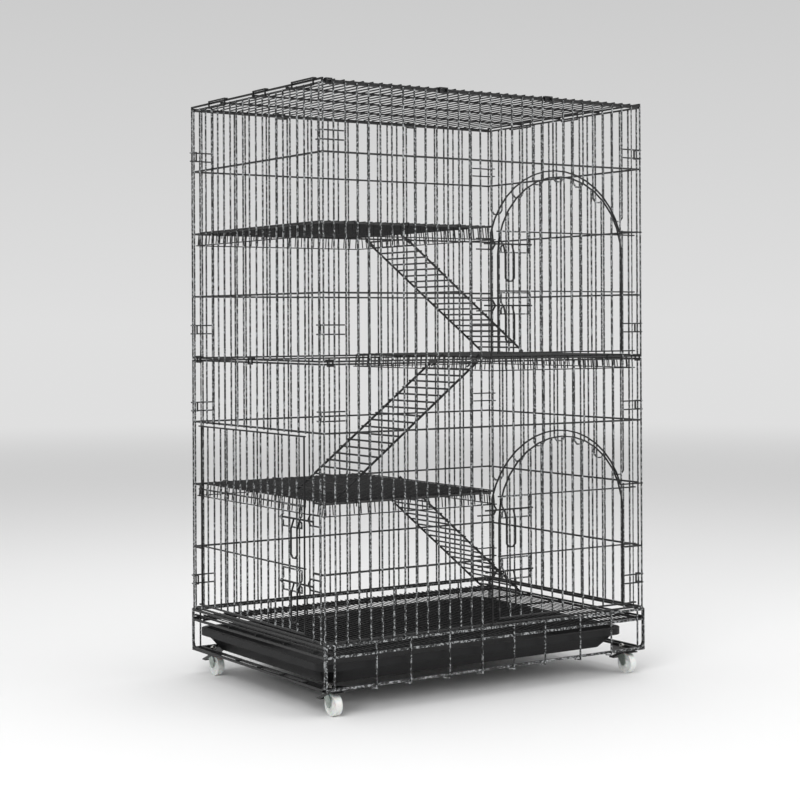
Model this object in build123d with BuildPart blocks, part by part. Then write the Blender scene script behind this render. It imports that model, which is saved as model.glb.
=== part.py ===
from build123d import *
import math
import os

os.makedirs("parts", exist_ok=True)

# Overall cage, millimetres, origin at the middle of the footprint on the floor
cage_width = 900.0
cage_depth = 600.0
lower_tier = 155.0
tier_height = 600.0
upper_tier = lower_tier + tier_height
roof_level = upper_tier + tier_height

# Wire stock and the gaps that keep welded wires separate solids
wire = 3.0
rail = 4.0
base_rail = 5.0
mesh_wire = 2.5
floor_wire = 2.0
weld_gap = 0.02
running_gap = 0.3
swivel_fit = 0.1

# Wall wire spacing
wall_pitch = 30.0
corner_wire = 447.0
side_wire = 285.0
rail_heights = (3.0, 150.0, 300.0, 450.0, 597.0)
wire_inset = 1.0
side_rail_half = 290.0

# Distances from the cage middle to each layer of wires, from the inside out
front_wire = cage_depth / 2 - wire / 2
front_rail = front_wire - wire / 2 - weld_gap - rail / 2
end_wire = cage_width / 2 - wire / 2
end_rail = end_wire - wire / 2 - weld_gap - rail / 2
bar_layer = wire + running_gap
frame_layer = bar_layer + wire + weld_gap
bolt_wire = 3.5
bolt_layer = frame_layer + wire / 2 + running_gap + bolt_wire / 2
bracket_layer = frame_layer + wire + weld_gap
handle_layer = bolt_layer + 7.5
doorway_layer = wire + weld_gap

# Arched doorway and door of the front walls
doorway_middle = 189.0
doorway_centre = 235.0
doorway_radius = 200.0
doorway_edge = -4.0
doorway_stub = 299.0
door_middle = 197.0
door_centre = 237.0
door_radius = 184.0
door_bottom = 16.0
door_bars = (156.0, 291.0)
door_spaces = 12
hinge_line = 420.0
arch_segments = 16
loop_bottoms = (329.0, 369.0, 401.0, 410.0, 400.0, 366.0, 323.0)
loop_sag = 9.0
loop_corner = 8.0

# Square door of the lower left wall
side_door_front = -229.0
side_door_back = 241.0
side_door_top = 441.0
side_door_spaces = 15
side_door_place = side_door_front - door_middle + door_radius

# Sliding bolts, measured from the left edge of the doorway
bolt_heights = (123.0, 262.0)
bolt_start = -28.0
bolt_end = 107.0
bracket_start = 18.0
bracket_end = 99.0
bracket_top = 29.0
bracket_bottom = -19.0
bracket_kink = 7.2
handle_legs = (26.0, 51.0)
handle_bend = -22.0
handle_drop = -84.0
handle_round = 7.0
receiver_start = -40.0
receiver_end = 13.0
receiver_half = 12.0
receiver_taper = 8.0

# Hinge hooks that tie the long walls to the end walls
hook_heights = (71.0, 486.0)
hook_half = 10.0
hook_start = 392.0
hook_wrap = 4.1
hook_return = 443.0

# Shelves: left and right edge of the mesh, top level, and the places of the rail hooks
mesh_pitch = 20.0
skirt_drop = 30.0
skirt_flare = 3.2
skirt_step = 4
skirt_offset = 1.6
shelf_half = 280.0
shelf_hook_start = 270.0
shelf_hook_reach = 298.6
shelf_hook_drop = 12.0
left_shelf = (-436.0, 14.0)
right_shelf = (12.0, 432.0)
left_shelf_hooks = (-366.0, -226.0, -86.0)
right_shelf_hooks = (82.0, 222.0, 342.0)
upper_shelf_top = upper_tier + 305.0
middle_shelf_top = upper_tier + 8.0
lower_shelf_top = lower_tier + 305.0

# Ramps: middle across the cage, run of the stringers and lean in degrees
ramp_half = 90.0
ramp_start = 15.0
rung_count = 20
ramp_grip = mesh_wire / 2 + running_gap + wire / 2
ramp_hook_length = 24.0
upper_ramp = (170.0, 476.0, 38.0)
middle_ramp = (-160.0, 495.0, 37.2)
lower_ramp = (165.0, 491.0, 40.4)
ramp_hooks = {"upper": (-80.0, 80.0), "middle": (-70.0, 70.0), "lower": (-75.0, 85.0)}

# Roof and the spring clips that tie it and the tiers together
roof_pitch = 24.5
roof_wires = 35
roof_rails = (-297.0, -150.0, 0.0, 150.0, 297.0)
roof_half_x = 449.0
roof_half_y = 299.0
roof_rim_x = 447.0
clip_layer = wire / 2 + running_gap + wire / 2
clip_prong = 444.0
clip_prong_y = 294.0
roof_clips_left = ((123.0, 203.0), (-65.0, -8.0), (-270.0, -178.0))
roof_clips_front = ((-441.0, -425.0), (-144.0, -122.0), (154.0, 176.0))
roof_clips_back = ((-209.0, -184.0), (184.0, 206.0))
roof_clips_right = ((-65.0, -8.0), (123.0, 203.0))
tier_clips_side = ((248.0, 268.0), (0.0, 20.0))
tier_clips_front = ((-441.0, -425.0), (425.0, 441.0))

# Base frame
base_bottom = 60.0
base_top = lower_tier - 3.0
base_y = 300.5
base_x = 448.0
post_bends = ((0.0, 14.0), (4.5, 4.0), (14.5, 0.0), (38.0, 0.0))
skirt_layer = base_y + base_rail / 2 + weld_gap + wire / 2
skirt_places = (-320.0, -230.0, -125.0, -35.0, 55.0, 145.0, 250.0, 345.0)
skirt_hook = 17.0
skirt_foot = -7.0
skirt_lift = 3.0
corner_pair = (447.0, 427.0)
pair_top = 157.0
pair_corner = 4.0
ledge_height = 129.0
inner_rail_x = 428.0
tie_places = (-200.0, -100.0, 0.0, 100.0, 200.0)

# Floor grid
floor_pitch = 14.0
floor_wires = 61
floor_cross = (-295.0, -250.0, -125.0, 0.0, 125.0, 250.0, 295.0)
floor_half_x = 448.0
floor_half_y = 301.0
floor_rim_x = 438.0
floor_corner = 309.0

# Tray
tray_left = -446.0
tray_right = 403.0
tray_half = 291.0
tray_rim_top = 112.0
tray_rim_bottom = 96.0
tray_bottom = base_bottom + base_rail / 2 + 0.05
tray_taper = 44.0
tray_wall = 3.0
tray_rim = 14.0
tray_corner = 24.0

# Casters
caster_turn = -90.0
caster_x = 415.0
caster_y = 262.0
plate_corner = (450.5, 302.9)
plate_leg_x = 98.0
plate_leg_y = 125.0
plate_thickness = 2.0
plate_top = base_bottom - base_rail / 2 - weld_gap
plate_bottom = plate_top - plate_thickness
stem_radius = 4.0
stem_head_radius = 6.0
stem_head = 2.5
nut_flats = 12.0
nut_height = 6.0
dome_radius = 5.5
dome_height = 4.0
dome_taper = 35.0
wheel_radius = 24.0
wheel_width = 17.0
wheel_offset = 18.0
axle_radius = 3.0
axle_head_radius = 4.5
axle_head = 1.0
race_sides = 12
pin_sides = 8
cheek_gap = 10.0
cheek_thickness = 2.0
fork_top = plate_bottom - running_gap
fork_race = 3.5
fork_race_radius = 14.0
stem_bottom = fork_top - fork_race - running_gap - stem_head
cheek_outline = ((-12.0, 0.0), (13.0, 0.0), (22.0, -14.0))
cheek_foot = 6.0
brake_pivot = (0.0, 43.0)
brake_pin = 1.3
brake_arm = 1.5
brake_half = cheek_gap + cheek_thickness + running_gap
arm_under = ((-30.0, 30.5), (-14.0, 32.5), (0.0, 40.0), (24.0, 50.5), (40.0, 50.5))
arm_over = ((40.0, 53.0), (18.0, 53.0), (0.0, 46.0), (-30.0, 33.0))
pedal_span = (-30.0, -14.0)
pedal_height = 31.0
shoe_span = (24.0, 40.0)
shoe_height = 50.5
brake_plate = 2.0


def ribbon(route, thickness):
    """Outline of a flat wire with mitred bends along a route."""
    points = [Vector(*point) for point in route]
    legs = [(after - before).normalized() for before, after in zip(points, points[1:])]
    left = []
    right = []
    for point, behind, ahead in zip(points, legs[:1] + legs, legs + legs[-1:]):
        across = Vector(-ahead.Y - behind.Y, ahead.X + behind.X).normalized()
        reach = thickness / 2 / across.dot(Vector(-ahead.Y, ahead.X))
        left.append(point + across * reach)
        right.append(point - across * reach)
    return left + right[::-1]


def bent_wire(plane, route, thickness):
    """One square wire bent along a route that is drawn on the plane."""
    with BuildPart() as bent:
        with BuildSketch(plane):
            with BuildLine():
                Polyline(*ribbon(route, thickness), close=True)
            make_face()
        extrude(amount=thickness / 2, both=True)
    return bent.solids()


def bars(direction, thickness, low, high, places):
    """Straight square wires from low to high, one at each place across."""
    middle = (low + high) / 2
    centres = {
        "x": [(middle, *place) for place in places],
        "y": [(place[0], middle, place[1]) for place in places],
        "z": [(*place, middle) for place in places],
    }
    size = {axis: thickness for axis in "xyz"}
    size[direction] = high - low
    with BuildPart() as straight:
        with Locations(*centres[direction]):
            Box(size["x"], size["y"], size["z"])
    return straight.solids()


def pin(direction, radius, low, high, place):
    """A round wire from low to high."""
    plane = {
        "x": Plane.YZ.offset(low),
        "y": Plane.XZ.offset(-low),
        "z": Plane.XY.offset(low),
    }[direction]
    reach = low - high if direction == "y" else high - low
    with BuildPart() as round_wire:
        with BuildSketch(plane):
            with Locations(place):
                Circle(radius)
        extrude(amount=reach)
    return round_wire.solids()


def facing_x(x):
    """Plane of the end walls at a given x: drawn across is y, drawn up is z."""
    return Plane.YZ.offset(x)


def facing_y(y):
    """Plane of the front and back walls at a given y: drawn across is x, drawn up is z."""
    return Plane.XZ.offset(-y)


def arc_route(middle, centre, radius, start_angle, end_angle):
    """Points of an arch from the start angle to the end angle, in degrees."""
    step = (end_angle - start_angle) / arch_segments
    angles = [math.radians(start_angle + step * number) for number in range(arch_segments + 1)]
    return [(middle + radius * math.cos(angle), centre + radius * math.sin(angle)) for angle in angles]


def export(solids, name):
    node = Compound(list(solids))
    node.label = name
    export_step(node, "parts/" + name + ".step")


def hinge_hooks(side, tier):
    """Hairpins of a long wall that hook round the corner wires of the end walls."""
    inner = side * front_rail
    wrapped = side * (side_wire - hook_wrap)
    hooks = []
    for end in (-1, 1):
        outside = end * (end_wire + hook_wrap)
        route = [(end * hook_start, inner), (outside, inner), (outside, wrapped), (end * hook_return, wrapped)]
        for height in hook_heights:
            for leg in (-hook_half, hook_half):
                hooks += bent_wire(Plane.XY.offset(tier + height + leg), route, wire)
            low = tier + height - hook_half + wire / 2 + weld_gap
            high = tier + height + hook_half - wire / 2 - weld_gap
            hooks += bars("z", wire, low, high, [(end * (hook_return + wire / 2), wrapped)])
    return hooks


def long_wall(side, tier):
    """A full panel of vertical wires with five rails."""
    columns = [wall_pitch * number for number in range(-14, 15)] + [-corner_wire, corner_wire]
    places = [(x, side * front_wire) for x in columns]
    wall = bars("z", wire, tier + wire_inset, tier + tier_height - wire_inset, places)
    places = [(side * front_rail, tier + z) for z in rail_heights]
    wall += bars("x", rail, -corner_wire - wire_inset, corner_wire + wire_inset, places)
    return wall + hinge_hooks(side, tier)


def end_wall(side, tier):
    """An end panel of vertical wires with five rails."""
    rows = [wall_pitch * (number + 0.5) for number in range(-10, 10)]
    wall = bars("z", wire, tier + wire_inset, tier + tier_height - wire_inset, [(side * end_wire, y) for y in rows])
    return wall + bars("y", rail, -side_rail_half, side_rail_half, [(side * end_rail, tier + z) for z in rail_heights])


def receiver(place, height, plane):
    """Hairpin on the wall that the end of a sliding bolt reaches past."""
    neck = receiver_end - receiver_taper
    route = [
        (receiver_start, receiver_half),
        (neck, receiver_half),
        (receiver_end, 0),
        (neck, -receiver_half),
        (receiver_start, -receiver_half),
    ]
    return bent_wire(plane, [(place + x, height + z) for x, z in route], wire)


def front_wall(tier):
    """A front panel with the arched doorway left open."""
    top = tier + tier_height - wire_inset
    foot = tier + wire_inset
    full = [-corner_wire] + [wall_pitch * number for number in range(-14, 0)] + [corner_wire]
    wall = bars("z", wire, foot, top, [(x, -front_wire) for x in full])
    wall += pin("z", wire / 2, foot, top, (hinge_line, -front_wire))
    stub_start = wall_pitch * 13
    wall += bars("z", wire, foot, tier + doorway_stub + wire, [(stub_start, -front_wire)])
    for number, bottom in enumerate(loop_bottoms):
        first = 2 * wall_pitch * number
        second = first + wall_pitch
        bend = tier + bottom + loop_sag
        wall += bars("z", wire, bend, top, [(first, -front_wire), (second, -front_wire)])
        sag = [
            (first, bend - weld_gap),
            (first + loop_corner, tier + bottom),
            (second - loop_corner, tier + bottom),
            (second, bend - weld_gap),
        ]
        wall += bent_wire(facing_y(-front_wire), sag, wire)
    low_rail, door_rail, arch_rail, high_rail, top_rail = [tier + z for z in rail_heights]
    end = corner_wire + wire_inset
    wall += bars("x", rail, -end, end, [(-front_rail, z) for z in (low_rail, high_rail, top_rail)])
    wall += bars("x", rail, -end, -wire, [(-front_rail, z) for z in (door_rail, arch_rail)])
    wall += bars("x", rail, stub_start - wire, end, [(-front_rail, door_rail - wire_inset)])
    for height in bolt_heights:
        wall += receiver(0, tier + height, facing_y(-front_rail))
    return wall + hinge_hooks(-1, tier)


def doorway_wire(tier):
    """The wire that edges the doorway, arches over it and runs on to the corner."""
    start = 180 - math.degrees(math.acos((doorway_middle - doorway_edge) / doorway_radius))
    end = math.degrees(math.asin((doorway_stub - doorway_centre) / doorway_radius))
    arch = arc_route(doorway_middle, tier + doorway_centre, doorway_radius, start, end)
    foot = (doorway_edge, tier + wire_inset)
    stub = (corner_wire + wire_inset, tier + doorway_stub)
    return bent_wire(facing_y(-front_wire - doorway_layer), [foot, *arch, stub], wire)


def side_wall_with_door(tier):
    """The lower left panel, open where the square door stands."""
    top = tier + tier_height - wire_inset
    foot = tier + wire_inset
    edge = side_wire - wall_pitch
    above = [wall_pitch * (number + 0.5) for number in range(-8, 8)]
    wall = bars("z", wire, foot, top, [(-end_wire, y) for y in (-side_wire, -edge, side_wire)])
    wall += pin("z", wire / 2, foot, top, (-end_wire, edge))
    wall += bars("z", wire, tier + rail_heights[3] - wire, top, [(-end_wire, y) for y in above])
    low_rail, door_rail, arch_rail, high_rail, top_rail = [tier + z for z in rail_heights]
    wall += bars("y", rail, -side_rail_half, side_rail_half, [(-end_rail, z) for z in (low_rail, high_rail, top_rail)])
    stubs = [(-end_rail, door_rail - wire_inset), (-end_rail, arch_rail)]
    wall += bars("y", rail, -side_rail_half, -edge + wire, stubs)
    wall += bars("y", rail, edge - wire / 2, side_rail_half, stubs)
    for height in bolt_heights:
        wall += receiver(side_door_place, tier + height, facing_x(-end_rail))
    return wall


def hinged_bar(height, start, hinge, layer, swap):
    """A door bar whose end curls round the hinge wire."""
    gap = wire / 2 + running_gap + wire / 2
    route = [(start, layer - gap), (hinge + gap, layer - gap), (hinge + gap, layer + gap), (hinge - wire, layer + gap)]
    if swap:
        route = [(across, along) for along, across in route]
    return bent_wire(Plane.XY.offset(height), route, wire)


def front_door_frame(tier):
    """The bent wire round the arched door."""
    left = door_middle - door_radius
    right = door_middle + door_radius
    foot = tier + door_bottom
    arch = arc_route(door_middle, tier + door_centre, door_radius, 0, 180)
    route = [(right, foot + wire / 2 + weld_gap), *arch, (left, foot), (right + wire / 2, foot)]
    return bent_wire(facing_y(-front_wire - frame_layer), route, wire)


def front_door_wires(tier):
    """The upright wires and the hinged bars of an arched door."""
    left = door_middle - door_radius
    pitch = 2 * door_radius / door_spaces
    wires = []
    for number in range(1, door_spaces):
        x = left + pitch * number
        rise = math.sqrt(door_radius**2 - (x - door_middle) ** 2)
        slope = abs(x - door_middle) / rise
        top = tier + door_centre + rise - wire / 2 * (math.hypot(1, slope) + slope) - wire / 4
        foot = tier + door_bottom + wire / 2 + weld_gap
        wires += bars("z", wire, foot, top, [(x, -front_wire - frame_layer)])
    for height in (door_bottom, *door_bars):
        wires += hinged_bar(tier + height, left, hinge_line, -front_wire, False)
    for height in bolt_heights:
        wires += bracket("x", 0, tier + height)
    return wires


def side_door_frame(tier):
    """The bent wire round the square door."""
    front = side_door_front
    back = side_door_back
    foot = tier + door_bottom
    top = tier + side_door_top
    route = [(back, foot + wire / 2 + weld_gap), (back, top), (front, top), (front, foot), (back + wire / 2, foot)]
    return bent_wire(facing_x(-end_wire - frame_layer), route, wire)


def side_door_wires(tier):
    """The upright wires and the hinged bars of the square door."""
    pitch = (side_door_back - side_door_front) / side_door_spaces
    foot = tier + door_bottom + wire / 2 + weld_gap
    top = tier + side_door_top - wire / 2 - weld_gap
    rows = [side_door_front + pitch * number for number in range(1, side_door_spaces)]
    wires = bars("z", wire, foot, top, [(-end_wire - frame_layer, y) for y in rows])
    for height in (door_bottom, *door_bars, side_door_top):
        wires += hinged_bar(tier + height, side_door_front, side_wire - wall_pitch, -end_wire, True)
    for height in bolt_heights:
        wires += bracket("y", side_door_place, tier + height)
    return wires


def crosswise(direction, place):
    """Plane square to the sliding direction of a bolt."""
    return facing_x(place) if direction == "x" else facing_y(place)


def depth(direction, layer):
    """Distance of a layer in front of the hinge wires."""
    return -(front_wire if direction == "x" else end_wire) - layer


def bracket(direction, place, height):
    """Guide of a sliding bolt: two runs and two sides that are kinked out over the bolt."""
    inner = depth(direction, bracket_layer)
    outer = depth(direction, bracket_layer + bracket_kink)
    runs = [(inner, height + bracket_top), (inner, height + bracket_bottom)]
    guide = bars(direction, wire, place + bracket_start, place + bracket_end, runs)
    half = wire / 2 + weld_gap
    route = [
        (inner, height + bracket_top - half),
        (inner, height + bracket_kink),
        (outer, height),
        (inner, height - bracket_kink),
        (inner, height + bracket_bottom + half),
    ]
    for side in (bracket_start + wire / 2, bracket_end - wire / 2):
        guide += bent_wire(crosswise(direction, place + side), route, wire)
    return guide


def bolt(direction, place, height):
    """A sliding rod with a finger loop that hangs in front of the bracket."""
    rod = depth(direction, bolt_layer)
    loop = depth(direction, handle_layer)
    solids = bars(direction, bolt_wire, place + bolt_start, place + bolt_end, [(rod, height)])
    drop = [(rod, height), (loop, height + handle_bend)]
    for leg in handle_legs:
        solids += bent_wire(crosswise(direction, place + leg), drop, wire)
    first, second = [place + leg for leg in handle_legs]
    top = height + handle_bend + wire / 2
    low = height + handle_drop
    route = [
        (first, top),
        (first, low + handle_round),
        (first + handle_round, low),
        (second - handle_round, low),
        (second, low + handle_round),
        (second, top),
    ]
    hanging = facing_y(loop) if direction == "x" else facing_x(loop)
    solids += bent_wire(hanging, route, wire)
    with BuildPart() as whole:
        add(solids)
    return whole.solids()


def shelf(edges, top, hooks, pivot_end):
    """A mesh shelf with a flared skirt, hung on the wall rails."""
    left, right = edges
    upper = top - mesh_wire / 2
    lower = upper - mesh_wire - weld_gap
    columns = [left + mesh_pitch * number for number in range(round((right - left) / mesh_pitch) + 1)]
    rows = [mesh_pitch * number for number in range(-14, 15)]
    pivot = right if pivot_end > 0 else left
    plain = [x for x in columns if x != pivot]
    mesh = bars("y", mesh_wire, -shelf_half, shelf_half, [(x, upper) for x in plain])
    mesh += pin("y", mesh_wire / 2, -shelf_half, shelf_half, (pivot, upper))
    mesh += bars("x", mesh_wire, left, right, [(y, lower) for y in rows])
    lean = math.degrees(math.atan2(skirt_flare, skirt_drop))
    length = math.hypot(skirt_flare, skirt_drop) - mesh_wire
    middle = top - skirt_drop / 2 - mesh_wire / 2
    out = mesh_wire / 2 + skirt_offset + skirt_flare / 2
    with BuildPart() as skirt:
        for side in (-1, 1):
            y = side * (shelf_half + out)
            with Locations(*[Location((x, y, middle), (side * lean, 0, 0)) for x in columns[::skirt_step]]):
                Box(mesh_wire, mesh_wire, length)
            x = right + out if side > 0 else left - out
            with Locations(*[Location((x, y, middle), (0, -side * lean, 0)) for y in rows[::skirt_step]]):
                Box(mesh_wire, mesh_wire, length)
    rim = top - skirt_drop - mesh_wire
    flare = mesh_wire / 2 + skirt_offset + skirt_flare
    mesh += skirt.solids()
    mesh += bars("x", mesh_wire, left - flare, right + flare, [(-shelf_half - flare, rim), (shelf_half + flare, rim)])
    inner = shelf_half + flare - mesh_wire / 2 - weld_gap
    mesh += bars("y", mesh_wire, -inner, inner, [(left - flare, rim), (right + flare, rim)])
    for x in hooks:
        for side in (-1, 1):
            reach = side * shelf_hook_reach
            route = [(side * shelf_hook_start, upper), (reach, upper), (reach, upper - shelf_hook_drop)]
            mesh += bent_wire(facing_x(x), route, mesh_wire)
    return mesh


def ramp(pivot, top, direction, ramp_size, hook_rows):
    """A ladder that hangs on the round edge wire of a shelf."""
    middle, length, lean = ramp_size
    half = ramp_half - rail / 2
    ladder = bars("x", rail, ramp_start, length, [(-half, 0), (half, 0)])
    step = (length - ramp_start) / rung_count
    rung_height = rail / 2 + weld_gap + wire / 2
    rungs = [(ramp_start + step * (number + 0.5), rung_height) for number in range(rung_count)]
    ladder += bars("y", wire, -ramp_half, ramp_half, rungs)
    inner = rung_height - wire - weld_gap
    route = [
        (-ramp_grip, -ramp_grip),
        (-ramp_grip, ramp_grip),
        (ramp_grip, ramp_grip),
        (ramp_start - wire, inner),
        (ramp_hook_length + ramp_start, inner),
    ]
    for row in hook_rows:
        ladder += bent_wire(facing_y(row), route, wire)
    angle = math.radians(lean)
    plane = Plane(
        origin=(pivot, middle, top - mesh_wire / 2),
        x_dir=(direction * math.cos(angle), 0, -math.sin(angle)),
        z_dir=(direction * math.sin(angle), 0, math.cos(angle)),
    )
    return [piece.moved(plane.location) for piece in ladder]


def clip(direction, side, span, low, high):
    """An oblong spring clip outside the wall, with a prong over and a prong under the rails."""
    wall = front_wire if direction == "x" else end_wire
    layer = side * (wall + clip_layer)
    tip = side * (clip_prong_y if direction == "x" else clip_prong)
    start, end = span
    plane = facing_y(layer) if direction == "x" else facing_x(layer)
    with BuildPart() as loop:
        with BuildSketch(plane):
            with Locations(((start + end) / 2, (low + high) / 2)):
                Rectangle(end - start, high - low + wire)
                Rectangle(end - start - 2 * wire, high - low - wire, mode=Mode.SUBTRACT)
        extrude(amount=wire / 2, both=True)
    near = layer - side * (wire / 2 + weld_gap)
    edge = min(near, tip), max(near, tip)
    across = "y" if direction == "x" else "x"
    prongs = bars(across, wire, *edge, [(start + wire / 2, high)])
    return loop.solids() + prongs + bars(across, wire, *edge, [(end - wire / 2, low)])


def roof():
    """The flat roof grid with its rim."""
    low = roof_level - wire_inset + weld_gap + rail / 2
    high = low + rail / 2 + weld_gap
    grid = bars("x", rail, -roof_half_x, roof_half_x, [(y, low) for y in roof_rails])
    columns = [roof_pitch * (number - (roof_wires - 1) / 2) for number in range(roof_wires)]
    grid += bars("y", mesh_wire, -roof_half_y, roof_half_y, [(x, high + mesh_wire / 2) for x in columns])
    rims = [(-roof_rim_x, high + rail / 2), (roof_rim_x, high + rail / 2)]
    return grid + bars("y", rail, -roof_half_y, roof_half_y, rims)


def roof_clips():
    """Clips that hold the roof down on the upper walls."""
    under = roof_level - wire_inset - rail - weld_gap - wire / 2
    over = roof_level - wire_inset + rail + 2 * weld_gap + wire / 2
    over_rim = over + rail + weld_gap
    clips = []
    for span in roof_clips_left:
        clips += clip("y", -1, span, under, over_rim)
    for span in roof_clips_right:
        clips += clip("y", 1, span, under, over_rim)
    for span in roof_clips_front:
        clips += clip("x", -1, span, under, over)
    for span in roof_clips_back:
        clips += clip("x", 1, span, under, over)
    return clips


def tier_clips():
    """Clips that hold the upper walls on the lower walls."""
    under = upper_tier - rail_heights[0] - rail / 2 - weld_gap - wire / 2
    over = upper_tier + rail_heights[0] + rail / 2 + weld_gap + wire / 2
    clips = []
    for side in (-1, 1):
        for span in tier_clips_side:
            clips += clip("y", side, span, under, over)
        for span in tier_clips_front:
            clips += clip("x", side, span, under, over)
    return clips


def base_frame():
    """The end frames, rails, ledges and cross ties of the wheeled base."""
    frame = []
    for end in (-1, 1):
        for side in (-1, 1):
            bends = [(side * (base_y - inset), base_bottom + rise) for inset, rise in post_bends]
            route = [(side * base_y, base_top + base_rail / 2), *bends]
            frame += bent_wire(facing_x(end * base_x), route, base_rail)
        run = base_y - post_bends[-1][0] - weld_gap
        frame += bars("y", base_rail, -run, run, [(end * base_x, base_bottom)])
        between = base_y - base_rail / 2 - weld_gap
        levels = [(end * base_x, base_top), (end * base_x, ledge_height), (end * inner_rail_x, base_bottom)]
        frame += bars("y", base_rail, -between, between, levels)
        inner = inner_rail_x + base_rail / 2 + weld_gap
        outer = base_x - base_rail / 2 - weld_gap
        span = (inner, outer) if end > 0 else (-outer, -inner)
        frame += bars("x", rail, *span, [(y, base_bottom) for y in tie_places])
    length = base_x - base_rail / 2 - weld_gap
    levels = [(side * base_y, z) for side in (-1, 1) for z in (base_bottom, ledge_height, base_top)]
    return frame + bars("x", base_rail, -length, length, levels)


def skirt_wires(side):
    """Hooked uprights along the front or back of the base."""
    plane = facing_y(side * skirt_layer)
    top = base_top + base_rail / 2 - wire / 2
    foot = base_bottom + skirt_foot
    wires = []
    for x in skirt_places:
        route = [(x - skirt_hook, top), (x, top), (x, foot), (x - skirt_hook, foot + skirt_lift)]
        wires += bent_wire(plane, route, wire)
    for end in (-1, 1):
        outer, inner = [end * place for place in corner_pair]
        bend = end * pair_corner
        pair_foot = base_bottom - base_rail / 2
        route = [
            (outer, pair_foot),
            (outer, pair_top - pair_corner),
            (outer - bend, pair_top),
            (inner + bend, pair_top),
            (inner, pair_top - pair_corner),
            (inner, pair_foot),
        ]
        wires += bent_wire(plane, route, wire)
    return wires


def floor_grid():
    """The lift-out grid that lies on the ledges above the tray."""
    low = ledge_height + base_rail / 2 + weld_gap + rail / 2
    high = low + rail / 2 + weld_gap
    grid = bars("x", rail, -floor_half_x, floor_half_x, [(y, low) for y in floor_cross])
    columns = [floor_pitch * (number - (floor_wires - 1) / 2) for number in range(floor_wires)]
    places = [(x, high + floor_wire / 2) for x in columns]
    grid += bars("y", floor_wire, -floor_half_y, floor_half_y, places)
    rims = [(-floor_rim_x, high + rail / 2), (floor_rim_x, high + rail / 2)]
    return grid + bars("y", rail, -floor_corner, floor_corner, rims)


def tray():
    """The moulded pull-out tray with tapered sides and a rolled rim."""
    middle = (tray_left + tray_right) / 2
    length = tray_right - tray_left
    body_length = length - 2 * tray_rim
    body_width = 2 * (tray_half - tray_rim)
    with BuildPart() as moulding:
        with BuildSketch(Plane.XY.offset(tray_bottom)):
            with Locations((middle, 0)):
                RectangleRounded(body_length - tray_taper, body_width - 2 * (tray_taper - tray_rim), tray_corner)
        with BuildSketch(Plane.XY.offset(tray_rim_bottom)):
            with Locations((middle, 0)):
                RectangleRounded(body_length, body_width, tray_corner)
        loft()
        with BuildSketch(Plane.XY.offset(tray_rim_bottom)):
            with Locations((middle, 0)):
                RectangleRounded(length, 2 * tray_half, tray_corner + tray_rim)
        extrude(amount=tray_rim_top - tray_rim_bottom)
        with BuildSketch(Plane.XY.offset(tray_bottom + tray_wall)):
            with Locations((middle, 0)):
                RectangleRounded(
                    body_length - tray_taper - 2 * tray_wall,
                    body_width - 2 * (tray_taper - tray_rim) - 2 * tray_wall,
                    tray_corner - tray_wall,
                )
        with BuildSketch(Plane.XY.offset(tray_rim_top)):
            with Locations((middle, 0)):
                RectangleRounded(body_length, body_width, tray_corner - tray_wall)
        loft(mode=Mode.SUBTRACT)
    return moulding.solids()


def caster_places():
    return [
        (end_name + "_" + side_name, end * caster_x, side * caster_y, end, side)
        for side_name, side in (("front", -1), ("back", 1))
        for end_name, end in (("left", -1), ("right", 1))
    ]


def caster_plate(end, side):
    """A corner plate under the base rails with the hole of the caster bolt."""
    corner_x, corner_y = end * plate_corner[0], side * plate_corner[1]
    with BuildPart() as plate:
        with BuildSketch(Plane.XY.offset(plate_bottom)):
            with BuildLine():
                Polyline(
                    (corner_x, corner_y),
                    (corner_x - end * plate_leg_x, corner_y),
                    (corner_x, corner_y - side * plate_leg_y),
                    close=True,
                )
            make_face()
            with Locations((end * caster_x, side * caster_y)):
                RegularPolygon(stem_radius + weld_gap, race_sides, major_radius=False, mode=Mode.SUBTRACT)
        extrude(amount=plate_thickness)
    return plate.solids()


def caster_bolt():
    """The headed bolt that the fork swivels on."""
    with BuildPart() as stem:
        with BuildSketch(Plane.XY.offset(stem_bottom + stem_head)):
            RegularPolygon(stem_radius, race_sides)
        extrude(amount=plate_top - stem_bottom - stem_head)
        with BuildSketch(Plane.XY.offset(stem_bottom)):
            RegularPolygon(stem_head_radius, 6)
        extrude(amount=stem_head)
    return stem.solids()


def caster_nut():
    """The domed nut on top of a corner plate."""
    with BuildPart() as nut:
        with BuildSketch(Plane.XY.offset(plate_top + weld_gap)):
            RegularPolygon(nut_flats / 2, 6, major_radius=False)
        extrude(amount=nut_height)
        with BuildSketch(Plane.XY.offset(plate_top + weld_gap + nut_height)):
            RegularPolygon(dome_radius, pin_sides)
        extrude(amount=dome_height, taper=dome_taper)
    return nut.solids()


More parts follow.
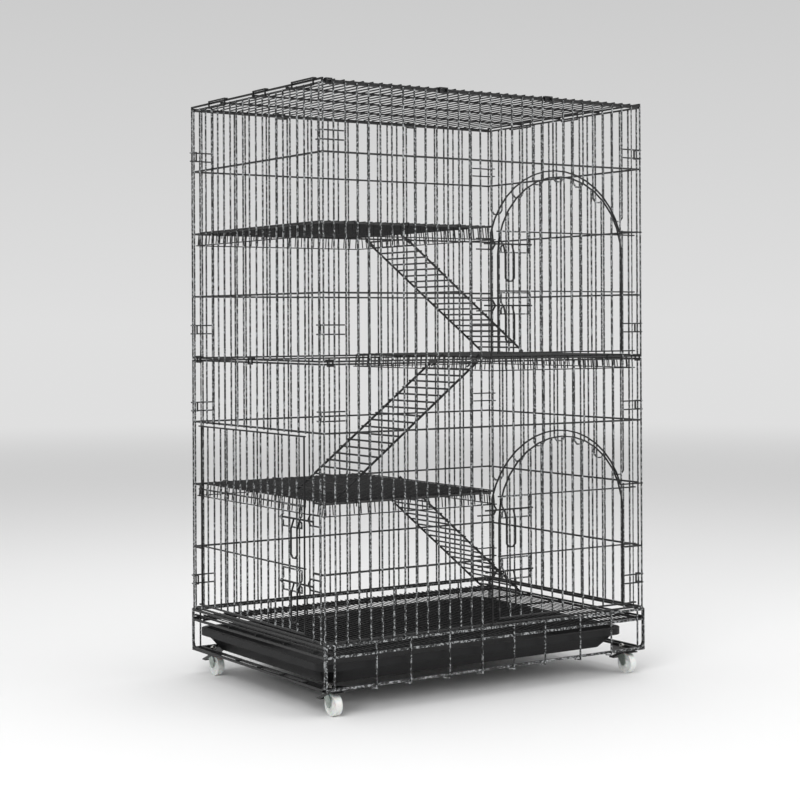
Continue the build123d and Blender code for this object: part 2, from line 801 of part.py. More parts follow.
def caster_fork():
    """The swivel fork: a race plate and two cheeks that carry the axle."""
    race = fork_top - fork_race
    cheek = [(x, race + z) for x, z in cheek_outline]
    foot = [(wheel_offset + cheek_foot, wheel_radius), (wheel_offset, wheel_radius - cheek_foot)]
    with BuildPart() as fork:
        with BuildSketch(Plane.XY.offset(race)):
            RegularPolygon(fork_race_radius, race_sides)
            RegularPolygon(stem_radius + running_gap, race_sides, major_radius=False, mode=Mode.SUBTRACT)
        extrude(amount=fork_race)
        for side in (-1, 1):
            with BuildSketch(facing_y(side * (cheek_gap + cheek_thickness / 2))):
                with BuildLine():
                    Polyline(*cheek, *foot, (wheel_offset - cheek_foot, wheel_radius - cheek_foot), close=True)
                make_face()
                with Locations((wheel_offset, wheel_radius)):
                    RegularPolygon(axle_radius + weld_gap, pin_sides, major_radius=False, mode=Mode.SUBTRACT)
                with Locations(brake_pivot):
                    RegularPolygon(brake_pin + running_gap, pin_sides, major_radius=False, mode=Mode.SUBTRACT)
            extrude(amount=cheek_thickness / 2, both=True)
    return fork.solids()


def caster_axle():
    """The rivet that the wheel turns on."""
    half = cheek_gap + cheek_thickness
    with BuildPart() as axle:
        with BuildSketch(facing_y(-half)):
            with Locations((wheel_offset, wheel_radius)):
                RegularPolygon(axle_radius, race_sides)
        extrude(amount=-2 * half)
        for side in (-1, 1):
            with BuildSketch(facing_y(side * half)):
                with Locations((wheel_offset, wheel_radius)):
                    RegularPolygon(axle_head_radius, pin_sides)
            extrude(amount=-side * axle_head)
    return axle.solids()


def caster_wheel():
    """The wheel with rounded tread edges and a bore for the axle."""
    half = wheel_width / 2
    with BuildPart() as wheel:
        with BuildSketch(facing_y(-half)):
            with Locations((wheel_offset, wheel_radius)):
                Circle(wheel_radius)
                Circle(axle_radius + swivel_fit, mode=Mode.SUBTRACT)
        extrude(amount=-wheel_width)
    return wheel.solids()


def caster_brake():
    """A rocking brake: pedal, side arms with pivot pins, and a shoe over the tread."""
    with BuildPart() as brake:
        for side in (-1, 1):
            with BuildSketch(facing_y(side * (brake_half + brake_arm / 2))):
                with BuildLine():
                    Polyline(*arm_under, *arm_over, close=True)
                make_face()
            extrude(amount=brake_arm / 2, both=True)
            with BuildSketch(facing_y(side * cheek_gap)):
                with Locations(brake_pivot):
                    RegularPolygon(brake_pin, pin_sides)
            extrude(amount=-side * (brake_half - cheek_gap))
        width = 2 * (brake_half + brake_arm)
        for span, height in ((pedal_span, pedal_height), (shoe_span, shoe_height)):
            with Locations((sum(span) / 2, 0, height + brake_plate / 2)):
                Box(span[1] - span[0], width, brake_plate)
    return brake.solids()


def placed(solids, x, y, turn):
    return [piece.moved(Location((x, y, 0), (0, 0, turn))) for piece in solids]


# Walls and doors
for tier_name, tier in (("lower", lower_tier), ("upper", upper_tier)):
    export(front_wall(tier), "front_wall_" + tier_name)
    export(doorway_wire(tier), "front_doorway_wire_" + tier_name)
    export(long_wall(1, tier), "back_wall_" + tier_name)
    export(end_wall(1, tier), "right_wall_" + tier_name)
    export(front_door_frame(tier), "front_door_frame_" + tier_name)
    export(front_door_wires(tier), "front_door_wires_" + tier_name)
    for bolt_name, height in zip(("bottom", "top"), bolt_heights):
        export(bolt("x", 0, tier + height), "front_door_" + tier_name + "_bolt_" + bolt_name)
export(end_wall(-1, upper_tier), "left_wall_upper")
export(side_wall_with_door(lower_tier), "left_wall_lower")
export(side_door_frame(lower_tier), "side_door_frame")
export(side_door_wires(lower_tier), "side_door_wires")
for bolt_name, height in zip(("bottom", "top"), bolt_heights):
    export(bolt("y", side_door_place, lower_tier + height), "side_door_bolt_" + bolt_name)

# Shelves and ramps
export(shelf(left_shelf, upper_shelf_top, left_shelf_hooks, 1), "shelf_upper")
export(shelf(right_shelf, middle_shelf_top, right_shelf_hooks, -1), "shelf_middle")
export(shelf(left_shelf, lower_shelf_top, left_shelf_hooks, 1), "shelf_lower")
export(ramp(left_shelf[1], upper_shelf_top, 1, upper_ramp, ramp_hooks["upper"]), "ramp_upper")
export(ramp(right_shelf[0], middle_shelf_top, -1, middle_ramp, ramp_hooks["middle"]), "ramp_middle")
export(ramp(left_shelf[1], lower_shelf_top, 1, lower_ramp, ramp_hooks["lower"]), "ramp_lower")

# Roof, clips and base
export(roof(), "roof_grid")
export(roof_clips(), "roof_clips")
export(tier_clips(), "tier_clips")
export(base_frame(), "base_frame")
export(skirt_wires(-1), "base_skirt_front")
export(skirt_wires(1), "base_skirt_back")
export(floor_grid(), "floor_grid")
export(tray(), "waste_tray")

# Casters, each trailing toward the front
fork, axle, wheel, brake = caster_fork(), caster_axle(), caster_wheel(), caster_brake()
bolts = []
nuts = []
for corner_name, x, y, end, side in caster_places():
    export(caster_plate(end, side), "caster_plate_" + corner_name)
    export(placed(fork, x, y, caster_turn), "caster_fork_" + corner_name)
    export(placed(axle, x, y, caster_turn), "caster_axle_" + corner_name)
    export(placed(wheel, x, y, caster_turn), "caster_wheel_" + corner_name)
    export(placed(brake, x, y, caster_turn), "caster_brake_" + corner_name)
    bolts += placed(caster_bolt(), x, y, 0)
    nuts += placed(caster_nut(), x, y, 0)
export(bolts, "caster_bolts")
export(nuts, "caster_nuts")
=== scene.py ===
import math

import bpy
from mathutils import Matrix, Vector


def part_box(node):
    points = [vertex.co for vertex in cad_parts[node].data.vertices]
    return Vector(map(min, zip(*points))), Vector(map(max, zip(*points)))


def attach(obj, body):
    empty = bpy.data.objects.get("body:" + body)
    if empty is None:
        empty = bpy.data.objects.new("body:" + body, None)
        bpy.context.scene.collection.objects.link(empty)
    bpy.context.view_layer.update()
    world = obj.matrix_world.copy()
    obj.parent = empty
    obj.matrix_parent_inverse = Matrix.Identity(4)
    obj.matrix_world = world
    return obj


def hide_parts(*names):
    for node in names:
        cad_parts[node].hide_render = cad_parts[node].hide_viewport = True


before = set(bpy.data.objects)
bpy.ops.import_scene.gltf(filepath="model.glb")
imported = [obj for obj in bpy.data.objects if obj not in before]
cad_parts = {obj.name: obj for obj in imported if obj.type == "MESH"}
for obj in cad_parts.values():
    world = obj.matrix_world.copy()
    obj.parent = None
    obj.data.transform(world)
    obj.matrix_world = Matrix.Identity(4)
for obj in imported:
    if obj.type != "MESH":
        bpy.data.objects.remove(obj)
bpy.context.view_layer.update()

bl_info = {
    "name": "Folding cat cage",
    "version": (1, 0, 0),
    "blender": (4, 5, 0),
    "location": "3D View > Sidebar > Cat Cage",
    "description": "Dresses the folding cat cage: wire finishes, mesh shelves, casters, tray and stage",
    "category": "Object",
}

CORNERS = ("left_front", "right_front", "left_back", "right_back")
SHELVES = ("shelf_upper", "shelf_middle", "shelf_lower")

# Planes outside which the upright wires of each panel lie, from the cage's middle
WALL_FACE = (0.44699, 0.29699)
FRONT_DOOR_FACE = 0.30331
SIDE_DOOR_FACE = 0.45331
BASE_FACE = 0.2979
NO_FACE = 9.0

# Rounding of the CAD nodes' edges
WALL_ROUND = 0.0009
DOOR_ROUND = 0.0008
FINE_ROUND = 0.0005
PLATE_ROUND = 0.0004
NUT_ROUND = 0.0007
TRAY_ROUND = 0.0012

# Shelves: half their depth, skirt offset and flare, and the rail hooks
SHELF_HALF = 0.280
SKIRT_OFFSET = 0.0016
SKIRT_FLARE = 0.0032
SKIRT_REACH = 0.0081
LEFT_HOOKS = (-0.366, -0.226, -0.086)
RIGHT_HOOKS = (0.082, 0.222, 0.342)
HOOK_MIDDLE = 0.2843
HOOK_LENGTH = 0.0286
HOOK_REACH = 0.2986
HOOK_DROP = 0.012

# Wheels: facets round the tread, and the face's rings as shares of the radius
TREAD_FACETS = 56
RIM_SHARE = 0.16
STEP_SHARE = 0.05
WEB_SHARE = 0.38

# Background greys that the camera sees, at the top of the picture and at the horizon
TOP_GREY = 0.6
HORIZON_GREY = 0.74
PICTURE_TOP = 0.19

# The point that the lamps face
LAMP_AIM = Vector((0, 0, 0.6))

QUARTER_TURN = math.radians(90)


class Value:
    """A number that varies over a surface, for shader maths."""

    def __init__(self, finish, socket):
        self.finish = finish
        self.socket = socket

    def maths(self, operation, first, second=None):
        node = self.finish.node("ShaderNodeMath", {"operation": operation})
        self.finish.feed(node.inputs[0], first)
        if second is not None:
            self.finish.feed(node.inputs[1], second)
        return Value(self.finish, node.outputs[0])

    def __add__(self, other):
        return self.maths("ADD", self, other)

    __radd__ = __add__

    def __mul__(self, other):
        return self.maths("MULTIPLY", self, other)

    __rmul__ = __mul__

    def __gt__(self, other):
        return self.maths("GREATER_THAN", self, other)

    def __abs__(self):
        return self.maths("ABSOLUTE", self)

    def larger(self, other):
        return self.maths("MAXIMUM", self, other)


class Finish:
    """A procedural material, patterned on the piece's Object coordinates."""

    def __init__(self, name):
        self.material = bpy.data.materials.new(name)
        self.material.use_nodes = True
        self.tree = self.material.node_tree
        self.shader = self.tree.nodes["Principled BSDF"]
        self.place = self.node("ShaderNodeTexCoord").outputs["Object"]

    def node(self, kind, settings=None, values=None):
        new = self.tree.nodes.new(kind)
        for name, setting in (settings or {}).items():
            setattr(new, name, setting)
        for name, value in (values or {}).items():
            self.feed(new.inputs[name], value)
        return new

    def feed(self, socket, value):
        if isinstance(value, Value):
            value = value.socket
        if isinstance(value, bpy.types.NodeSocket):
            self.tree.links.new(value, socket)
        else:
            socket.default_value = value

    def axes(self):
        parts = self.node("ShaderNodeSeparateXYZ", None, {"Vector": self.place})
        return [Value(self, parts.outputs[axis]) for axis in "XYZ"]

    def noise(self, scale, detail=3.0, roughness=0.55):
        values = {"Vector": self.place, "Scale": scale, "Detail": detail, "Roughness": roughness}
        return Value(self, self.node("ShaderNodeTexNoise", None, values).outputs[0])

    def cells(self, scale, feature="F1"):
        values = {"Vector": self.place, "Scale": scale}
        node = self.node("ShaderNodeTexVoronoi", {"feature": feature}, values)
        return Value(self, node.outputs["Distance"])

    def fade(self, value, low, high):
        values = {"Value": value, "From Min": low, "From Max": high}
        settings = {"interpolation_type": "SMOOTHSTEP", "clamp": True}
        node = self.node("ShaderNodeMapRange", settings, values)
        return Value(self, node.outputs[0])

    def tint(self, factor, first, second):
        node = self.node("ShaderNodeMix", {"data_type": "RGBA"})
        for place, value in ((0, factor), (6, first), (7, second)):
            self.feed(node.inputs[place], value)
        return node.outputs[2]

    def bump(self, height, strength, distance):
        values = {"Height": height, "Strength": strength, "Distance": distance}
        self.set(Normal=self.node("ShaderNodeBump", None, values).outputs[0])

    def set(self, **values):
        for name, value in values.items():
            self.feed(self.shader.inputs[name.replace("_", " ")], value)


def grey(level):
    return (level, level, level, 1.0)


def silver_vein(name, outer_x, outer_y, looks):
    """Silver-vein coat on the wires outside two planes, black coat on the rails within them."""
    finish = Finish(name)
    x, y = finish.axes()[:2]
    upright = (abs(x) > outer_x).larger(abs(y) > outer_y)
    vein = finish.fade(finish.noise(210.0, 2.0) + finish.noise(700.0) * 0.3, 0.64, 0.76)
    drift = finish.noise(7.0, 2.0)
    silver = finish.tint(vein * 0.55 + drift * 0.05, grey(0.008), (*looks.silver, 1.0))
    black = finish.tint(finish.noise(60.0), (*looks.black, 1.0), grey(0.035))
    finish.set(Base_Color=finish.tint(upright, black, silver))
    finish.set(Metallic=upright * 0.3, Roughness=finish.noise(120.0) * 0.22 + 0.36, Specular_IOR_Level=0.35)
    finish.bump(vein + finish.noise(1500.0, 2.0) * 0.3, 0.25, 0.0003)
    return finish.material


def black_coat(looks):
    """Semi-gloss black powder coat with a fine orange peel and rubbed patches."""
    finish = Finish("black_powder_coat")
    wear = finish.fade(finish.noise(38.0, 4.0), 0.62, 0.78)
    finish.set(Base_Color=finish.tint(wear * 0.6, (*looks.black, 1.0), grey(0.09)))
    finish.set(Roughness=finish.noise(90.0) * 0.2 + 0.36, Specular_IOR_Level=0.3)
    finish.bump(finish.noise(1300.0, 2.0), 0.2, 0.0002)
    return finish.material


def zinc_plate():
    """Passivated zinc with spangle and a faint green tint."""
    finish = Finish("zinc_plate")
    spangle = finish.cells(210.0, "SMOOTH_F1") * 1.4
    stain = finish.fade(finish.noise(70.0, 4.0), 0.45, 0.75)
    bright = finish.tint(spangle, (0.26, 0.31, 0.28, 1.0), (0.46, 0.5, 0.47, 1.0))
    finish.set(Base_Color=finish.tint(stain * 0.45, bright, (0.17, 0.2, 0.17, 1.0)))
    finish.set(Metallic=0.9, Roughness=finish.noise(160.0) * 0.25 + 0.2)
    finish.bump(finish.noise(700.0), 0.15, 0.0002)
    return finish.material


def bright_nut():
    """Bright nickel with hairline turning marks."""
    finish = Finish("bright_nickel")
    z = finish.axes()[2]
    rings = finish.noise(420.0, 2.0)
    finish.set(Base_Color=finish.tint(rings * 0.4, (0.8, 0.79, 0.76, 1.0), (0.55, 0.54, 0.52, 1.0)))
    finish.set(Metallic=1.0, Roughness=rings * 0.14 + 0.1)
    finish.bump(finish.noise(900.0) + z * 0.2, 0.08, 0.0001)
    return finish.material


def tray_plastic(looks):
    """Moulded black plastic with a spark-eroded grain and long scuffs on its floor."""
    finish = Finish("moulded_tray_plastic")
    scuff = finish.fade(finish.noise(26.0, 6.0, 0.7), 0.58, 0.74)
    dust = finish.fade(finish.noise(5.0, 3.0), 0.4, 0.8)
    finish.set(Base_Color=finish.tint(scuff * 0.2 + dust * 0.1, (*looks.tray, 1.0), grey(0.03)))
    finish.set(Roughness=finish.noise(300.0) * 0.18 + scuff * 0.12 + 0.42, Specular_IOR_Level=0.25)
    finish.bump(finish.cells(1400.0) + finish.noise(18.0) * 0.4, 0.3, 0.0003)
    return finish.material


def wheel_plastic(looks):
    """Milky nylon with a tread that has picked up dirt."""
    finish = Finish("milky_wheel_plastic")
    dirt = finish.fade(finish.noise(150.0, 4.0), 0.42, 0.75)
    finish.set(Base_Color=finish.tint(dirt * 0.4, (*looks.wheel, 1.0), (0.42, 0.42, 0.38, 1.0)))
    finish.set(Roughness=finish.noise(220.0) * 0.2 + 0.3, Subsurface_Weight=0.15, Subsurface_Scale=0.004)
    finish.bump(finish.noise(600.0), 0.12, 0.0002)
    return finish.material


def brake_plastic():
    """Black pressed pedal with a worn foot patch."""
    finish = Finish("brake_pedal_black")
    worn = finish.fade(finish.noise(170.0, 5.0), 0.5, 0.72)
    finish.set(Base_Color=finish.tint(worn * 0.5, grey(0.02), grey(0.12)))
    finish.set(Roughness=worn * 0.15 + finish.noise(400.0) * 0.2 + 0.3)
    finish.bump(finish.noise(900.0), 0.2, 0.0002)
    return finish.material


def coat(name, material):
    """Gives a CAD node its finish."""
    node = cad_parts[name]
    if not node.material_slots:
        node.data.materials.append(material)
    for slot in node.material_slots:
        slot.material = material
    return node


def soften(node, width, segments=2):
    """Rounds the corners of a CAD node's bars."""
    bevel = node.modifiers.new("rounded wire", "BEVEL")
    bevel.width = width
    bevel.segments = segments
    bevel.limit_method = "ANGLE"
    bevel.angle_limit = math.radians(40)


def clear_selection():
    if bpy.context.object and bpy.context.object.mode != "OBJECT":
        bpy.ops.object.mode_set(mode="OBJECT")
    bpy.ops.object.select_all(action="DESELECT")


def finished(name):
    """Puts the active piece's place into its mesh and names it."""
    piece = bpy.context.object
    bpy.ops.object.transform_apply(location=True, rotation=True, scale=True)
    piece.name = name
    piece.data.name = name
    return piece


def select_faces(piece, test):
    """Selects the faces whose centre and normal pass the test, and ends in edit mode.

    The selection holds only where face mode was on before, so a session's first call selects nothing.
    """
    bpy.ops.object.mode_set(mode="OBJECT")
    for face in piece.data.polygons:
        face.select = test(face.center, face.normal)
    for edge in piece.data.edges:
        edge.select = False
    for vertex in piece.data.vertices:
        vertex.select = False
    bpy.ops.object.mode_set(mode="EDIT")
    bpy.ops.mesh.select_mode(type="FACE")


def drawn_wire(radius, length, place, turn):
    """A straight drawn wire, square-cut. The flat inset adds faces at its ends and no form."""
    clear_selection()
    bpy.ops.mesh.primitive_cylinder_add(vertices=8, radius=radius, depth=length, location=(0, 0, 0))
    wire = bpy.context.object
    bpy.ops.object.mode_set(mode="EDIT")
    select_faces(wire, lambda centre, normal: abs(normal.z) > 0.9)
    bpy.ops.mesh.inset(thickness=radius * 0.35)
    bpy.ops.mesh.select_mode(type="FACE")
    bpy.ops.object.mode_set(mode="OBJECT")
    bpy.ops.object.shade_smooth_by_angle(angle=math.radians(50))
    wire.rotation_euler = turn
    wire.location = place
    return finished("wire")


def repeated(piece, count, step):
    """Repeats a wire with an applied array."""
    array = piece.modifiers.new("row", "ARRAY")
    array.count = count
    array.use_relative_offset = False
    array.use_constant_offset = True
    array.constant_offset_displace = step
    clear_selection()
    piece.select_set(True)
    bpy.context.view_layer.objects.active = piece
    bpy.ops.object.modifier_apply(modifier=array.name)
    return piece


def joined(wires, name):
    """Joins the wires of one piece."""
    clear_selection()
    for wire in wires:
        wire.select_set(True)
    bpy.context.view_layer.objects.active = wires[0]
    bpy.ops.object.join()
    return finished(name)


def tune(piece, material, slot, body, *nodes):
    """Gives a new piece its finish and its body, and hides the CAD nodes that it stands for."""
    piece.data.materials.clear()
    piece.data.materials.append(material)
    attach(piece, body)
    if nodes:
        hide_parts(*nodes)


class CatCageLooks(bpy.types.PropertyGroup):
    """Colours of the cage's finishes."""

    silver: bpy.props.FloatVectorProperty(
        name="Silver vein",
        description="Bright part of the silver-vein coat",
        subtype="COLOR",
        default=(0.62, 0.64, 0.65),
    )
    black: bpy.props.FloatVectorProperty(
        name="Black coat",
        description="Powder coat of rails, shelves and base",
        subtype="COLOR",
        default=(0.008, 0.008, 0.0085),
    )
    tray: bpy.props.FloatVectorProperty(
        name="Tray",
        description="Moulded tray plastic",
        subtype="COLOR",
        default=(0.006, 0.006, 0.0065),
    )
    wheel: bpy.props.FloatVectorProperty(
        name="Wheel", description="Milky wheel plastic", subtype="COLOR", default=(0.78, 0.8, 0.78)
    )
    floor: bpy.props.FloatVectorProperty(
        name="Floor", description="Pale studio floor", subtype="COLOR", default=(0.86, 0.86, 0.86)
    )


class CatCageSizes(bpy.types.PropertyGroup):
    """Sizes of the pieces that are modelled here."""

    mesh_wire: bpy.props.FloatProperty(
        name="Mesh wire", description="Diameter of the shelf wires", default=0.0025, unit="LENGTH"
    )
    mesh_pitch: bpy.props.FloatProperty(
        name="Mesh pitch",
        description="Distance between the shelf wires",
        default=0.018,
        unit="LENGTH",
    )
    skirt_drop: bpy.props.FloatProperty(
        name="Skirt drop", description="Height of the shelf skirt", default=0.030, unit="LENGTH"
    )
    wheel_chamfer: bpy.props.FloatProperty(
        name="Tread edge",
        description="Rounding of the wheel's tread edges",
        default=0.0025,
        unit="LENGTH",
    )
    hub_depth: bpy.props.FloatProperty(
        name="Hub recess",
        description="Depth of the recess beside the wheel's hub",
        default=0.002,
        unit="LENGTH",
    )


class CATCAGE_OT_wire_panels(bpy.types.Operator):
    """Finishes the walls, doors, doorway wires, base frame and skirts"""

    bl_idname = "catcage.wire_panels"
    bl_label = "Wire panels"

    def execute(self, context):
        looks = context.scene.cat_cage_looks
        walls = silver_vein("silver_vein_walls", *WALL_FACE, looks)
        front = silver_vein("silver_vein_front_doors", NO_FACE, FRONT_DOOR_FACE, looks)
        side = silver_vein("silver_vein_side_door", SIDE_DOOR_FACE, NO_FACE, looks)
        base = silver_vein("silver_vein_base", NO_FACE, BASE_FACE, looks)
        black = black_coat(looks)
        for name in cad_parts:
            if "_wall_" in name:
                soften(coat(name, walls), WALL_ROUND)
            elif name.startswith("front_door_wires"):
                soften(coat(name, front), DOOR_ROUND)
            elif name == "side_door_wires":
                soften(coat(name, side), DOOR_ROUND)
            elif "door_frame" in name or "doorway_wire" in name:
                soften(coat(name, black), DOOR_ROUND)
            elif name.startswith("base"):
                soften(coat(name, base), WALL_ROUND)
        return {"FINISHED"}


class CATCAGE_OT_black_wire(bpy.types.Operator):
    """Finishes the bolts, clips, roof, ramps, floor grid and corner plates"""

    bl_idname = "catcage.black_wire"
    bl_label = "Black wire"

    def execute(self, context):
        black = bpy.data.materials["black_powder_coat"]
        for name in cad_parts:
            hooked = "_bolt_" in name or name.endswith("_clips")
            if hooked or name.startswith("ramp") or name == "roof_grid":
                soften(coat(name, black), WALL_ROUND)
            elif name == "floor_grid":
                soften(coat(name, black), FINE_ROUND)
            elif name.startswith("caster_plate"):
                soften(coat(name, black), PLATE_ROUND)
        return {"FINISHED"}


class CATCAGE_OT_shelves(bpy.types.Operator):
    """Builds the three mesh shelves with every wire of mesh and skirt"""

    bl_idname = "catcage.shelves"
    bl_label = "Shelves"

    def execute(self, context):
        sizes = context.scene.cat_cage_sizes
        black = bpy.data.materials["black_powder_coat"]
        radius = sizes.mesh_wire / 2
        slope = math.atan2(SKIRT_FLARE, sizes.skirt_drop)
        along_x = (0, QUARTER_TURN, 0)
        along_y = (QUARTER_TURN, 0, 0)
        for name in SHELVES:
            low, high = (Vector(corner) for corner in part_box(name))
            top = high.z - radius
            left, right = low.x + SKIRT_REACH, high.x - SKIRT_REACH
            middle = (left + right) / 2
            across = round((right - left) / sizes.mesh_pitch)
            along = round(2 * SHELF_HALF / sizes.mesh_pitch)
            step_x = ((right - left) / across, 0, 0)
            step_y = (0, 2 * SHELF_HALF / along, 0)
            cross = drawn_wire(radius, 2 * SHELF_HALF, (left, 0, top), along_y)
            place = (middle, -SHELF_HALF, top - sizes.mesh_wire)
            lengthwise = drawn_wire(radius, right - left, place, along_x)
            wires = [repeated(cross, across + 1, step_x), repeated(lengthwise, along + 1, step_y)]
            drop = math.hypot(SKIRT_FLARE, sizes.skirt_drop) - radius
            fall = top - sizes.skirt_drop / 2
            out = radius + SKIRT_OFFSET + SKIRT_FLARE / 2
            rim = top - sizes.skirt_drop - radius
            reach = SKIRT_REACH - radius
            for side in (-1, 1):
                leg = drawn_wire(radius, drop, (left, side * (SHELF_HALF + out), fall), (side * slope, 0, 0))
                wires.append(repeated(leg, across + 1, step_x))
                edge = right if side > 0 else left
                leg = drawn_wire(radius, drop, (edge + side * out, -SHELF_HALF, fall), (0, -side * slope, 0))
                wires.append(repeated(leg, along + 1, step_y))
                place = (edge + side * reach, 0, rim)
                wires.append(drawn_wire(radius, 2 * (SHELF_HALF + reach), place, along_y))
                place = (middle, side * (SHELF_HALF + reach), rim)
                wires.append(drawn_wire(radius, right - left + 2 * reach, place, along_x))
            for place in RIGHT_HOOKS if name == "shelf_middle" else LEFT_HOOKS:
                for side in (-1, 1):
                    wires.append(drawn_wire(radius, HOOK_LENGTH, (place, side * HOOK_MIDDLE, top), along_y))
                    tip = (place, side * HOOK_REACH, top - HOOK_DROP / 2)
                    wires.append(drawn_wire(radius, HOOK_DROP, tip, (0, 0, 0)))
            piece = joined(wires, name + "_mesh")
            tune(piece, black, "black_steel", "shelf_upper" if name == "shelf_upper" else "cage", name)
        return {"FINISHED"}


class CATCAGE_OT_wheels(bpy.types.Operator):
    """Turns the four caster wheels with rounded treads and recessed hubs"""

    bl_idname = "catcage.wheels"
    bl_label = "Wheels"

    def execute(self, context):
        looks = context.scene.cat_cage_looks
        sizes = context.scene.cat_cage_sizes
        milky = wheel_plastic(looks)
        for corner in CORNERS:
            node = "caster_wheel_" + corner
            low, high = (Vector(part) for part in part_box(node))
            centre = (low + high) / 2
            radius = (high.z - low.z) / 2
            width = high.x - low.x
            clear_selection()
            bpy.ops.mesh.primitive_cylinder_add(
                vertices=TREAD_FACETS, radius=radius, depth=width, location=(0, 0, 0)
            )
            wheel = bpy.context.object
            bpy.ops.object.mode_set(mode="EDIT")
            select_faces(wheel, lambda middle, normal: abs(normal.z) > 0.9)
            bpy.ops.mesh.inset(thickness=radius * RIM_SHARE)
            bpy.ops.mesh.inset(thickness=radius * STEP_SHARE, depth=-sizes.hub_depth)
            bpy.ops.mesh.inset(thickness=radius * WEB_SHARE)
            bpy.ops.mesh.inset(thickness=radius * STEP_SHARE, depth=sizes.hub_depth)
            bpy.ops.object.mode_set(mode="OBJECT")
            bevel = wheel.modifiers.new("tread edge", "BEVEL")
            bevel.width = sizes.wheel_chamfer * 0.5
            bevel.segments = 3
            bevel.limit_method = "ANGLE"
            bevel.angle_limit = math.radians(50)
            bpy.ops.object.modifier_apply(modifier=bevel.name)
            bpy.ops.object.shade_smooth_by_angle(angle=math.radians(35))
            wheel.rotation_euler = (0, QUARTER_TURN, 0)
            wheel.location = centre
            piece = finished("caster_wheel_detailed_" + corner)
            tune(piece, milky, "wheel_plastic", node, node)
        return {"FINISHED"}


class CATCAGE_OT_caster_metal(bpy.types.Operator):
    """Finishes the forks, axles, brakes, swivel bolts and domed nuts"""

    bl_idname = "catcage.caster_metal"
    bl_label = "Caster metal"

    def execute(self, context):
        zinc = zinc_plate()
        nickel = bright_nut()
        black = brake_plastic()
        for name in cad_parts:
            if name.startswith(("caster_fork", "caster_axle")) or name == "caster_bolts":
                soften(coat(name, zinc), PLATE_ROUND)
            elif name.startswith("caster_brake"):
                soften(coat(name, black), PLATE_ROUND)
            elif name == "caster_nuts":
                soften(coat(name, nickel), NUT_ROUND, 3)
        return {"FINISHED"}


class CATCAGE_OT_tray(bpy.types.Operator):
    """Finishes the moulded tray"""

    bl_idname = "catcage.tray"
    bl_label = "Tray"

    def execute(self, context):
        soften(coat("waste_tray", tray_plastic(context.scene.cat_cage_looks)), TRAY_ROUND)
        return {"FINISHED"}


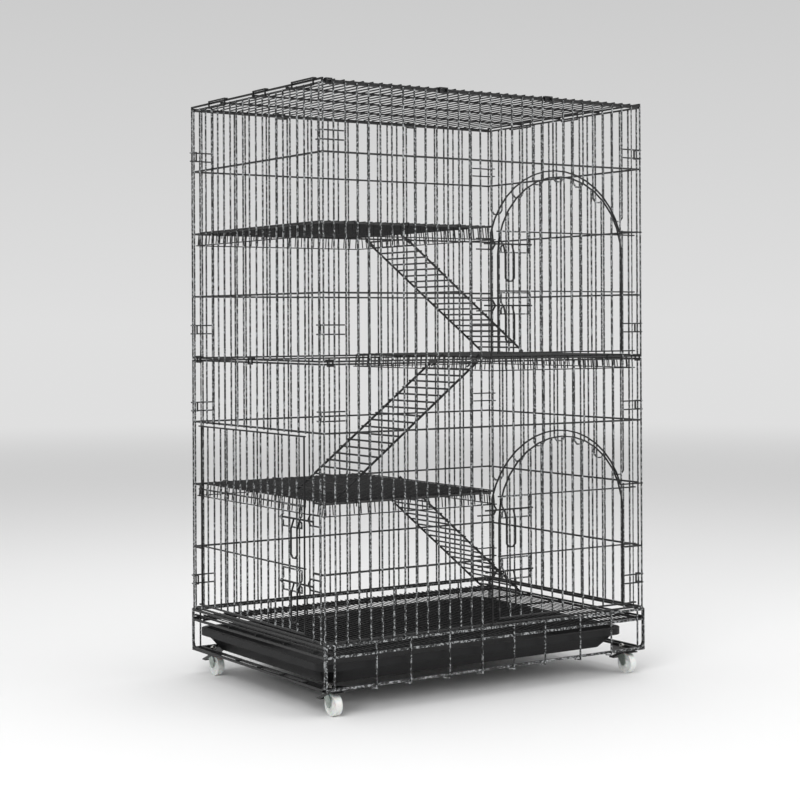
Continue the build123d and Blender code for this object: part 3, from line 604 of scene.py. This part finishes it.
class CATCAGE_OT_stage(bpy.types.Operator):
    """Sets the pale floor, the soft light and the camera"""

    bl_idname = "catcage.stage"
    bl_label = "Stage"

    def execute(self, context):
        looks = context.scene.cat_cage_looks
        clear_selection()
        bpy.ops.mesh.primitive_plane_add(size=160, location=(0, 0, 0))
        floor = bpy.context.object
        floor.name = "studio_floor"
        finish = Finish("studio_floor")
        x, y = finish.axes()[:2]
        away = finish.fade(x * x + y * y, 1.0, 120.0)
        finish.set(Base_Color=(*looks.floor, 1.0), Roughness=0.9)
        seen = finish.node("ShaderNodeLightPath").outputs["Is Camera Ray"]
        haze = finish.node("ShaderNodeEmission", None, {"Color": grey(HORIZON_GREY), "Strength": 1.0})
        mixed = finish.node("ShaderNodeMixShader")
        finish.feed(mixed.inputs[0], away * Value(finish, seen))
        finish.feed(mixed.inputs[1], finish.shader.outputs[0])
        finish.feed(mixed.inputs[2], haze.outputs[0])
        finish.feed(finish.tree.nodes["Material Output"].inputs["Surface"], mixed.outputs[0])
        floor.data.materials.append(finish.material)

        world = bpy.data.worlds.new("studio")
        context.scene.world = world
        world.use_nodes = True
        tree = world.node_tree
        background = tree.nodes["Background"]
        background.inputs["Color"].default_value = grey(0.8)
        background.inputs["Strength"].default_value = 0.75
        shown = tree.nodes.new("ShaderNodeBackground")
        shown.inputs["Strength"].default_value = 1.0
        direction = tree.nodes.new("ShaderNodeTexCoord")
        height = tree.nodes.new("ShaderNodeSeparateXYZ")
        shade = tree.nodes.new("ShaderNodeMapRange")
        shade.inputs["From Max"].default_value = PICTURE_TOP
        shade.inputs["To Min"].default_value = HORIZON_GREY
        shade.inputs["To Max"].default_value = TOP_GREY
        tree.links.new(direction.outputs["Generated"], height.inputs[0])
        tree.links.new(height.outputs["Z"], shade.inputs["Value"])
        tree.links.new(shade.outputs[0], shown.inputs["Color"])
        rays = tree.nodes.new("ShaderNodeLightPath")
        either = tree.nodes.new("ShaderNodeMixShader")
        tree.links.new(rays.outputs["Is Camera Ray"], either.inputs[0])
        tree.links.new(background.outputs[0], either.inputs[1])
        tree.links.new(shown.outputs[0], either.inputs[2])
        tree.links.new(either.outputs[0], tree.nodes["World Output"].inputs["Surface"])

        for name, place, size, power in (
            ("key", (-3.2, -2.6, 3.4), 2.2, 105.0),
            ("fill", (2.6, -3.6, 2.2), 2.6, 45.0),
            ("top", (0.2, 0.4, 4.2), 2.8, 60.0),
        ):
            lamp = bpy.data.lights.new(name, "AREA")
            lamp.size = size
            lamp.energy = power
            holder = bpy.data.objects.new(name, lamp)
            context.scene.collection.objects.link(holder)
            holder.location = place
            holder.rotation_euler = (LAMP_AIM - Vector(place)).to_track_quat("-Z", "Y").to_euler()

        lens = bpy.data.cameras.new("photo_view")
        lens.sensor_width = 36.0
        lens.lens = 78.32
        lens.shift_x = 0.069
        lens.shift_y = -0.0942
        lens.clip_end = 400.0
        camera = bpy.data.objects.new("photo_view", lens)
        context.scene.collection.objects.link(camera)
        camera.location = (-2.3941, -3.4311, 0.8385)
        camera.rotation_euler = (math.radians(89.971), math.radians(0.276), math.radians(-32.561))
        context.scene.camera = camera
        context.scene.view_settings.view_transform = "Standard"
        return {"FINISHED"}


OPERATORS = (
    CATCAGE_OT_wire_panels,
    CATCAGE_OT_black_wire,
    CATCAGE_OT_shelves,
    CATCAGE_OT_wheels,
    CATCAGE_OT_caster_metal,
    CATCAGE_OT_tray,
    CATCAGE_OT_stage,
)


class CATCAGE_PT_panel(bpy.types.Panel):
    """Lists the cage's pieces and settings"""

    bl_idname = "CATCAGE_PT_panel"
    bl_label = "Cat Cage"
    bl_space_type = "VIEW_3D"
    bl_region_type = "UI"
    bl_category = "Cat Cage"

    def draw(self, context):
        for settings in (context.scene.cat_cage_looks, context.scene.cat_cage_sizes):
            for name in settings.__annotations__:
                self.layout.prop(settings, name)
        for operator in OPERATORS:
            self.layout.operator(operator.bl_idname)


CLASSES = (CatCageLooks, CatCageSizes, *OPERATORS, CATCAGE_PT_panel)


def register():
    for listed in CLASSES:
        bpy.utils.register_class(listed)
    bpy.types.Scene.cat_cage_looks = bpy.props.PointerProperty(type=CatCageLooks)
    bpy.types.Scene.cat_cage_sizes = bpy.props.PointerProperty(type=CatCageSizes)


def unregister():
    del bpy.types.Scene.cat_cage_sizes
    del bpy.types.Scene.cat_cage_looks
    for listed in reversed(CLASSES):
        bpy.utils.unregister_class(listed)


def main():
    register()
    bpy.ops.catcage.wire_panels()
    bpy.ops.catcage.black_wire()
    bpy.ops.catcage.shelves()
    bpy.ops.catcage.wheels()
    bpy.ops.catcage.caster_metal()
    bpy.ops.catcage.tray()
    bpy.ops.catcage.stage()


if __name__ == "__main__":
    main()
